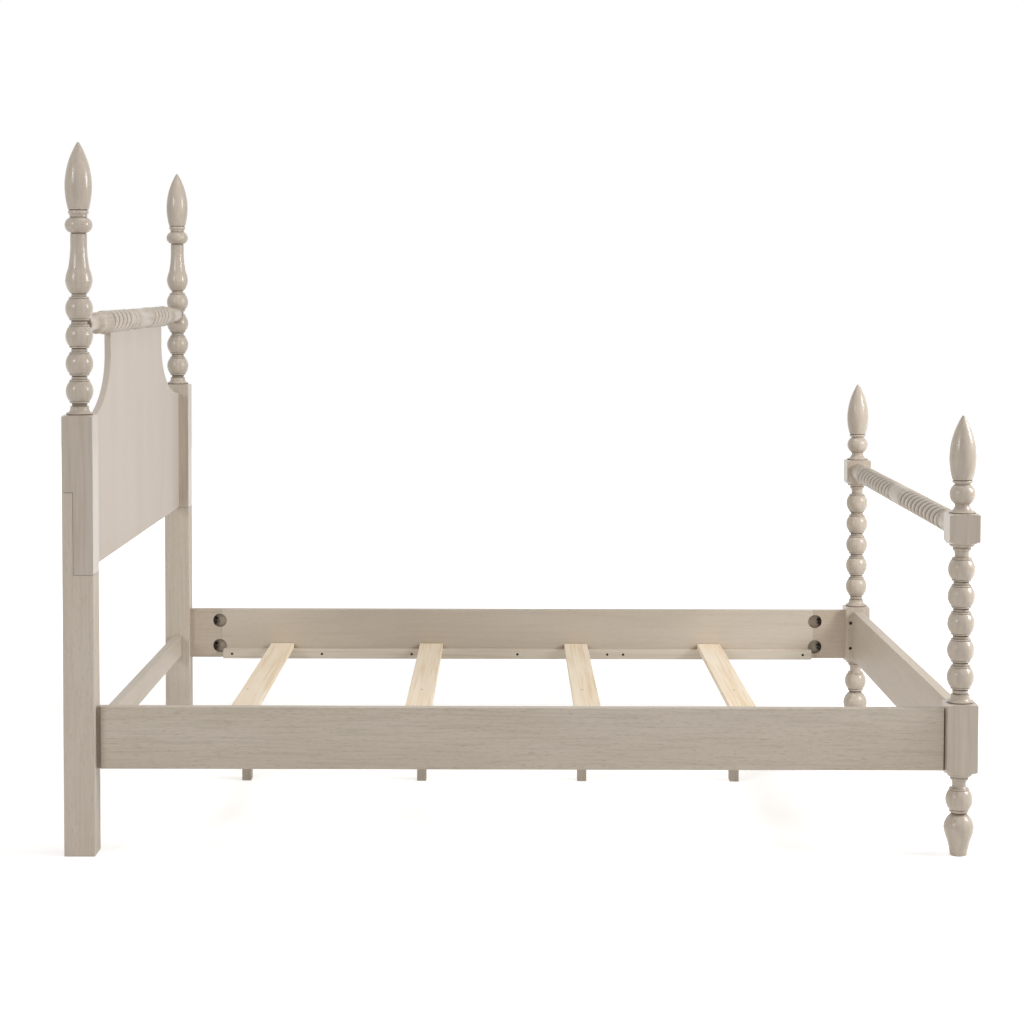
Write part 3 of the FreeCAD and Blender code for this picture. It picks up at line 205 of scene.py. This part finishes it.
finish(leg_oak, "head_leg")
finish(panel_oak, "head_panel")


# --- Turned posts and finials ---------------------------------------------------------------
# Posts and finials are turned from solid oak, sanded smooth, washed and lacquered. The pores are
# nearly filled, so the wood shines softly. The grooves are painted darker, partly with the wash
# that gathers there and partly with painted shade.
def turned_oak(name, grain, light, dark, coat, wash_and_shade, seed):
    """Turned washed oak. coat is the lacquer, and the next argument how dark the wash and painted
    shade make the grooves.
    """
    material, tree, place = new_material(name)
    long = add(tree, "Mapping", {"Vector": place, **stretch(grain, *STREAK, seed)})
    streaks = add(tree, "TexNoise", {"Vector": long, "Scale": 1.0, "Detail": 3.0})
    tone = add(tree, "MapRange", {"Value": streaks, "From Min": 0.3, "From Max": 0.75},
               interpolation_type="SMOOTHSTEP")
    ground = add(tree, "Mix", [tone, linear(light), linear(dark)], data_type="RGBA")
    # Painted shade, with some real wash: ambient occlusion darkens the grooves and hollows, and
    # the crease mark darkens the rope's creases, towards the dark groove colour.
    hollow = add(tree, "AmbientOcclusion", {"Distance": 0.025}, samples=8, only_local=True)
    depth = add(tree, "MapRange", {"Value": hollow.outputs["AO"], "From Min": 0.95,
                                   "From Max": 0.4}, interpolation_type="SMOOTHSTEP")
    crease = add(tree, "Attribute", attribute_name=CREASE).outputs["Fac"]
    cut = add(tree, "MapRange", {"Value": crease, "From Min": 0.5, "From Max": 1.0},
              interpolation_type="SMOOTHSTEP")
    deepest = add(tree, "Math", [depth, cut], operation="MAXIMUM")
    washed_and_shaded = add(tree, "Math", [deepest, wash_and_shade], operation="MULTIPLY")
    colour = add(tree, "Mix", [washed_and_shaded, ground, linear(GROOVE_WASH_AND_SHADE)], data_type="RGBA")
    fine = add(tree, "Mapping", {"Vector": place, **stretch(grain, *FILLED_PORE, seed + 2)})
    pores = add(tree, "TexNoise", {"Vector": fine, "Scale": 1.0, "Detail": 1.0})
    bump = add(tree, "Bump", {"Height": pores, "Strength": 0.1, "Distance": 0.0002})
    gloss = add(tree, "MapRange", {"Value": pores, "To Min": 0.26, "To Max": 0.36})
    shader = add(tree, "BsdfPrincipled", {
        "Base Color": colour, "Normal": bump, "Roughness": gloss, "IOR": 1.5,
        "Specular IOR Level": 0.2, "Coat Weight": coat, "Coat Roughness": 0.12})
    add(tree, "OutputMaterial", [shader])
    return material


# Streaks of the grain are 160 mm long and 8 mm wide. The filled pores only make the gloss
# uneven, and are drawn coarser than real ones, as those of the boards are.
STREAK = (0.16, 0.008)
FILLED_PORE = (0.02, 0.0014)
# The groove colour stands for the wash in the grooves together with painted shade.
GROOVE_WASH_AND_SHADE = "#715E4C"
CREASE = "crease"
post_oak = turned_oak("washed_oak_turned_posts", "Z", "#C2B6A8", "#B6AA9B",
                      coat=0.32, wash_and_shade=0.6, seed=2.2)
finish(post_oak, "head_post", "foot_post", "head_finial", "foot_finial")


# --- Rope-carved top rails ------------------------------------------------------------------
# Both top rails are turned oak, carved by hand on each side of a smooth middle barrel: rounded
# strands wind round the rail like a rope. The creases between them are painted darker, partly with
# the wash that gathers there and partly with painted shade.
# Their tenons sit in the posts.
def arc_points(start, end, swell, steps=10):
    """Points from start to end, swelling outwards by swell, without the start itself."""
    points = []
    for step in range(1, steps + 1):
        share = step / steps
        bow = 4 * share * (1 - share) * swell
        points.append((start[0] + (end[0] - start[0]) * share,
                       start[1] + (end[1] - start[1]) * share + bow))
    return points


def rope_carving(material):
    """Geometry nodes that carve strands round the Y axis, then set the rail in its place."""
    tree = bpy.data.node_groups.new("rope_carving", "GeometryNodeTree")
    sockets = tree.interface
    sockets.new_socket("Rail", in_out="INPUT", socket_type="NodeSocketGeometry")
    for name in ROPE_SIZES:
        sockets.new_socket(name, in_out="INPUT", socket_type="NodeSocketFloat")
    sockets.new_socket("Place", in_out="INPUT", socket_type="NodeSocketVector")
    sockets.new_socket("Rail", in_out="OUTPUT", socket_type="NodeSocketGeometry")
    given = add(tree, "NodeGroupInput").outputs
    point = add(tree, "SeparateXYZ", [add(tree, "GeometryNodeInputPosition")]).outputs

    # share is 0 outside the carved stretch and rises to 1 over ROPE_FADE at each end of it.
    reach = add(tree, "Math", [point["Y"]], operation="ABSOLUTE")
    past_start = add(tree, "Math", [reach, given["Start"]], operation="SUBTRACT")
    before_end = add(tree, "Math", [given["End"], reach], operation="SUBTRACT")
    room = add(tree, "Math", [past_start, before_end], operation="MINIMUM")
    share = add(tree, "Math", [room, ROPE_FADE], operation="DIVIDE", use_clamp=True)

    # off_centre is 0 on a strand's crown and 1 in the crease beside it.
    angle = add(tree, "Math", [point["X"], point["Z"]], operation="ARCTAN2")
    around = add(tree, "Math", [angle, 2 * math.pi], operation="DIVIDE")
    along = add(tree, "Math", [point["Y"], given["Lead"]], operation="DIVIDE")
    turns = add(tree, "Math", [around, along], operation="ADD")
    winding = add(tree, "Math", [turns, given["Strands"]], operation="MULTIPLY")
    strand = add(tree, "Math", [winding], operation="FRACT")
    side = add(tree, "Math", [strand, 2.0, -1.0], operation="MULTIPLY_ADD")
    off_centre = add(tree, "Math", [side], operation="ABSOLUTE")

    # The cut follows a rounded strand, from nothing at its crown to the full depth at the crease.
    square = add(tree, "Math", [off_centre, off_centre], operation="MULTIPLY")
    crown = add(tree, "Math", [1.0, square], operation="SUBTRACT")
    height = add(tree, "Math", [crown, STRAND_ROUND], operation="POWER")
    fall = add(tree, "Math", [height, 1.0], operation="SUBTRACT")
    depth = add(tree, "Math", [share, given["Depth"]], operation="MULTIPLY")
    cut = add(tree, "Math", [depth, fall], operation="MULTIPLY")
    outward = add(tree, "CombineXYZ", {"X": point["X"], "Z": point["Z"]})
    unit = add(tree, "VectorMath", [outward], operation="NORMALIZE")
    inward = add(tree, "VectorMath", [unit, cut], operation="SCALE")
    moved = add(tree, "VectorMath", [inward, given["Place"]], operation="ADD")

    # The crease mark tells the rails' material where to paint its wash and painted shade.
    creased = add(tree, "Math", [share, off_centre], operation="MULTIPLY")
    marked = add(tree, "GeometryNodeStoreNamedAttribute", {
        "Geometry": given["Rail"], "Name": CREASE, "Value": creased})
    carved = add(tree, "GeometryNodeSetPosition", {"Geometry": marked, "Offset": moved})
    real = add(tree, "GeometryNodeRealizeInstances", [carved])
    painted = add(tree, "GeometryNodeSetMaterial", {"Geometry": real, "Material": material})
    add(tree, "NodeGroupOutput", [painted])
    return tree


def carved_rail(node, half, rope, strands, lead, depth):
    """A turned rail along Y, carved between the two reaches of rope. half is its outline from
    the middle to one end: reach, radius and how far the stretch before it swells out."""
    low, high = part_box(node)
    outline = [(0.0, half[0][1])]
    for reach, radius, swell in half:
        if swell:
            outline += arc_points(outline[-1], (reach, radius), swell)
        elif rope[0] <= outline[-1][0] < rope[1]:
            count = math.ceil((reach - outline[-1][0]) / RAIL_STEP)
            outline += arc_points(outline[-1], (reach, radius), 0, count)
        else:
            outline.append((reach, radius))
    rings = [(-reach, radius) for reach, radius in reversed(outline[1:])] + outline
    points = []
    for along, radius in rings:
        for number in range(RAIL_SIDES):
            angle = 2 * math.pi * number / RAIL_SIDES
            points.append((radius * math.sin(angle), along, radius * math.cos(angle)))
    faces = []
    for ring in range(len(rings) - 1):
        this, following = ring * RAIL_SIDES, (ring + 1) * RAIL_SIDES
        for number in range(RAIL_SIDES):
            after = (number + 1) % RAIL_SIDES
            faces.append((this + number, this + after, following + after, following + number))
    last = (len(rings) - 1) * RAIL_SIDES
    faces.append(tuple(reversed(range(RAIL_SIDES))))
    faces.append(tuple(last + number for number in range(RAIL_SIDES)))
    turned = bpy.data.meshes.new(node + "_turned")
    turned.from_pydata(points, [], faces)
    rail = bpy.data.objects.new(node + "_carved", turned)
    bpy.context.collection.objects.link(rail)
    carving = rail.modifiers.new("carving", "NODES")
    carving.node_group = carving_tree
    place = ((low[0] + high[0]) / 2, 0.0, (low[2] + high[2]) / 2)
    values = dict(zip(ROPE_SIZES, (*rope, strands, lead, depth)), Place=place)
    for socket in carving_tree.interface.items_tree:
        if socket.name in values:
            carving[socket.identifier] = values[socket.name]
    rail.update_tag()
    evaluated = rail.evaluated_get(bpy.context.evaluated_depsgraph_get())
    mesh = bpy.data.meshes.new_from_object(evaluated)
    rail.modifiers.clear()
    rail.data = mesh
    mesh.shade_smooth()
    mesh.set_sharp_from_angle(angle=math.radians(SHARP_ANGLE))
    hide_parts(node)
    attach(rail, "root")


# The carved stretch has a ring of points every 2.2 mm, and each cut runs out over 10 mm at its
# ends. All sizes are in metres. A strand's power of 0.5 would make it exactly round.
RAIL_SIDES = 144
RAIL_STEP = 0.0022
SHARP_ANGLE = 50
ROPE_FADE = 0.010
STRAND_ROUND = 0.6
ROPE_SIZES = ("Start", "End", "Strands", "Lead", "Depth")
HEAD_ROPE = (0.172, 0.457)
FOOT_ROPE = (0.095, 0.6035)
HEAD_HALF = [
    (0.060, 0.0290, 0), (0.075, 0.0262, -0.001), (0.116, 0.0275, 0), (0.121, 0.0240, 0),
    (0.127, 0.0262, 0), (0.158, 0.0275, 0.002), (0.165, 0.0240, 0), (0.172, 0.0300, 0),
    (0.457, 0.0300, 0), (0.461, 0.0240, 0), (0.464, 0.0275, 0), (0.484, 0.0275, 0.003),
    (0.546, 0.0170, -0.002), (0.594, 0.0170, 0.0105), (0.608, 0.0170, 0),
    (0.733, 0.0220, 0.0012), (0.733, 0.0232, 0), (0.745, 0.0232, 0.0018), (0.745, 0.0100, 0),
    (0.7765, 0.0100, 0),
]
FOOT_HALF = [
    (0.060, 0.0280, 0.0005), (0.078, 0.0262, 0), (0.086, 0.0230, 0), (0.095, 0.0285, 0),
    (0.6035, 0.0285, 0), (0.607, 0.0230, 0), (0.6105, 0.0265, 0), (0.6225, 0.0265, 0.0022),
    (0.626, 0.0230, 0), (0.6295, 0.0275, 0), (0.7435, 0.0275, 0), (0.7435, 0.0125, 0),
    (0.7685, 0.0125, 0),
]
rope_oak = turned_oak("washed_oak_carved_rails", "Y", "#C1B5A7", "#B2A595",
                      coat=0.05, wash_and_shade=0.95, seed=6.3)
carving_tree = rope_carving(rope_oak)
carved_rail("head_top_rail", HEAD_HALF, HEAD_ROPE, strands=3.0, lead=0.174, depth=0.0085)
carved_rail("foot_top_rail", FOOT_HALF, FOOT_ROPE, strands=3.0, lead=0.15, depth=0.0070)


# --- Slats ----------------------------------------------------------------------------------
# Thin boards of sawn pine without a finish: pale yellow and dull, with soft orange growth lines
# along the board. They lie on the ledger strips.
def softwood(name, grain, base, line, ring, rough):
    """Sawn softwood. ring is the spacing of the growth lines."""
    material, tree, place = new_material(name)
    long = add(tree, "Mapping", {
        "Vector": place, **stretch(grain, SOFT_LINE_LENGTH, ring, SOFT_SEEDS[0])})
    lines = add(tree, "TexNoise", {"Vector": long, "Scale": 1.0, "Detail": 1.5})
    growth = add(tree, "MapRange", {"Value": lines, "From Min": 0.45, "From Max": 0.7},
                 interpolation_type="SMOOTHSTEP")
    broad = add(tree, "Mapping", {
        "Vector": place, **stretch(grain, *SOFT_PATCH, SOFT_SEEDS[1])})
    patches = add(tree, "TexNoise", {"Vector": broad, "Scale": 1.0, "Detail": 2.0})
    uneven = add(tree, "MapRange", {"Value": patches, "From Min": 0.3, "From Max": 0.8},
                 interpolation_type="SMOOTHSTEP")
    lined = add(tree, "Math", [growth, SOFT_LINE_SHARE], operation="MULTIPLY")
    mottle = add(tree, "Math", [uneven, SOFT_PATCH_SHARE, lined], operation="MULTIPLY_ADD")
    colour = add(tree, "Mix", [mottle, linear(base), linear(line)], data_type="RGBA")
    bump = add(tree, "Bump", {"Height": lines, "Strength": 0.2, "Distance": 0.0003})
    shader = add(tree, "BsdfPrincipled", {
        "Base Color": colour, "Normal": bump, "Roughness": rough})
    add(tree, "OutputMaterial", [shader])
    return material


# Growth lines of sawn pine are 4 to 7 mm apart on the face. They are drawn 350 mm long, and the
# patches of deeper colour 400 by 50 mm.
SOFT_LINE_LENGTH = 0.35
SOFT_PATCH = (0.4, 0.05)
SOFT_SEEDS = (2.0, 9.0)
SOFT_LINE_SHARE = 0.45
SOFT_PATCH_SHARE = 0.3
slat_pine = softwood("bare_pine", "Y", "#F7E8D2", "#E0C294", ring=0.007, rough=0.62)
finish(slat_pine, "slat_")


# --- Ledgers, centre legs, dowels -----------------------------------------------------------
# Ledger strips and centre legs are plain softwood, stained grey to match the oak. Dowels and
# finial pins are bare beech inside the joints.
ledger_wood = softwood("stained_softwood", "X", "#CFC4B4", "#B9AB99", ring=0.006, rough=0.55)
leg_wood = softwood("stained_softwood_legs", "Z", "#B6AC9E", "#9D9283", ring=0.006, rough=0.6)
beech = softwood("bare_beech", "Z", "#D9BE98", "#C2A377", ring=0.004, rough=0.6)
finish(ledger_wood, "ledger_near", "ledger_far")
finish(leg_wood, "centre_leg_1", "centre_leg_2", "centre_leg_3", "centre_leg_4")
finish(beech, "stretcher_dowels", "foot_board_dowels", "finial_pins")


# --- Bolts and screws -----------------------------------------------------------------------
# Studs, inserts, barrel nuts and the legs' screws are zinc-plated steel, grey and dulled by
# handling. The ledger screws and the nuts and washers in the rails' pockets have a black oxide,
# which shows nearly black and half dull.
def plated(name, bright, dull, metallic, rough):
    """Plated steel with faint spots, a few millimetres wide, in its colour and its gloss."""
    material, tree, place = new_material(name)
    spots = add(tree, "TexNoise", {"Vector": place, "Scale": 260.0, "Detail": 3.0})
    tint = add(tree, "MapRange", {"Value": spots, "From Min": 0.35, "From Max": 0.7},
               interpolation_type="SMOOTHSTEP")
    colour = add(tree, "Mix", [tint, linear(bright), linear(dull)], data_type="RGBA")
    gloss = add(tree, "MapRange", {
        "Value": spots, "To Min": rough, "To Max": rough + HANDLING_WEAR})
    shader = add(tree, "BsdfPrincipled", {
        "Base Color": colour, "Roughness": gloss, "Metallic": metallic})
    add(tree, "OutputMaterial", [shader])
    return material


HANDLING_WEAR = 0.2
zinc = plated("dull_zinc_plate", "#8E8A84", "#6E6A64", metallic=1.0, rough=0.3)
black = plated("black_oxide", "#2C2926", "#3A3632", metallic=0.8, rough=0.4)
finish(zinc, "bed_studs", "barrel_nuts", "stud_inserts", "lap_", "centre_leg_screws")
finish(black, "ledger_screws", "hex_nuts", "half_moon_washers")


# --- Floor, lamps and surroundings ----------------------------------------------------------
# A plain white studio: the floor is white to the camera and keeps the bed's shadow. A large soft
# lamp stands in front of the head end, another lights the foot end, and a weak one hangs above.
def sees_background(tree):
    """1 for rays that show the bare background: from the camera, a gloss or through glass."""
    rays = add(tree, "LightPath").outputs
    direct = add(tree, "Math", [rays["Is Camera Ray"], rays["Is Glossy Ray"]],
                 operation="MAXIMUM")
    return add(tree, "Math", [direct, rays["Is Transmission Ray"]], operation="MAXIMUM")


def lamp(name, place, aim, size, power):
    """A round area lamp at place that points at aim."""
    data = bpy.data.lights.new(name, "AREA")
    data.shape = "DISK"
    data.size = size
    data.energy = power
    thing = bpy.data.objects.new(name, data)
    thing.location = place
    thing.rotation_euler = (Vector(aim) - Vector(place)).to_track_quat("-Z", "Y").to_euler()
    bpy.context.collection.objects.link(thing)


FLOOR_REACH = 12.0
FLOOR_CORNERS = ((-1, -1), (1, -1), (1, 1), (-1, 1))
WHITE = (1, 1, 1, 1)
floor_mesh = bpy.data.meshes.new("floor")
floor_mesh.from_pydata([(x * FLOOR_REACH, y * FLOOR_REACH, 0) for x, y in FLOOR_CORNERS],
                       [], [(0, 1, 2, 3)])
floor = bpy.data.objects.new("floor", floor_mesh)
bpy.context.collection.objects.link(floor)

# The floor's own glow makes it white to the camera. It is weaker near the bed, under the lamps.
floor_paint, tree, place = new_material("white_floor")
matt = add(tree, "BsdfPrincipled", {"Base Color": linear("#F0EFED"), "Roughness": 0.9})
away = add(tree, "VectorMath", [place], operation="LENGTH")
strength = add(tree, "MapRange", {"Value": away, "From Min": 1.5, "From Max": 4.0,
                                  "To Min": 0.5, "To Max": 0.95})
glow = add(tree, "Emission", {"Color": WHITE, "Strength": strength})
lit = add(tree, "AddShader", [matt, glow])
seen = add(tree, "MixShader", [sees_background(tree), matt, lit])
add(tree, "OutputMaterial", [seen])
floor_mesh.materials.append(floor_paint)

lamp("key", place=(-4.4, -5.0, 3.2), aim=(0, 0, 0.7), size=1.9, power=113)
lamp("foot_fill", place=(3.8, -1.0, 2.4), aim=(-0.8, 0, 0.8), size=1.6, power=126)
lamp("top", place=(-0.2, -0.6, 4.2), aim=(0, 0, 0.5), size=2.2, power=34)

world = bpy.data.worlds.new("studio")
bpy.context.scene.world = world
world.use_nodes = True
sky = world.node_tree
sky.nodes.clear()
fill = add(sky, "Background", {"Color": WHITE, "Strength": 0.31})
backdrop = add(sky, "Background", {"Color": WHITE, "Strength": 1.0})
either = add(sky, "MixShader", [sees_background(sky), fill, backdrop])
add(sky, "OutputWorld", [either])
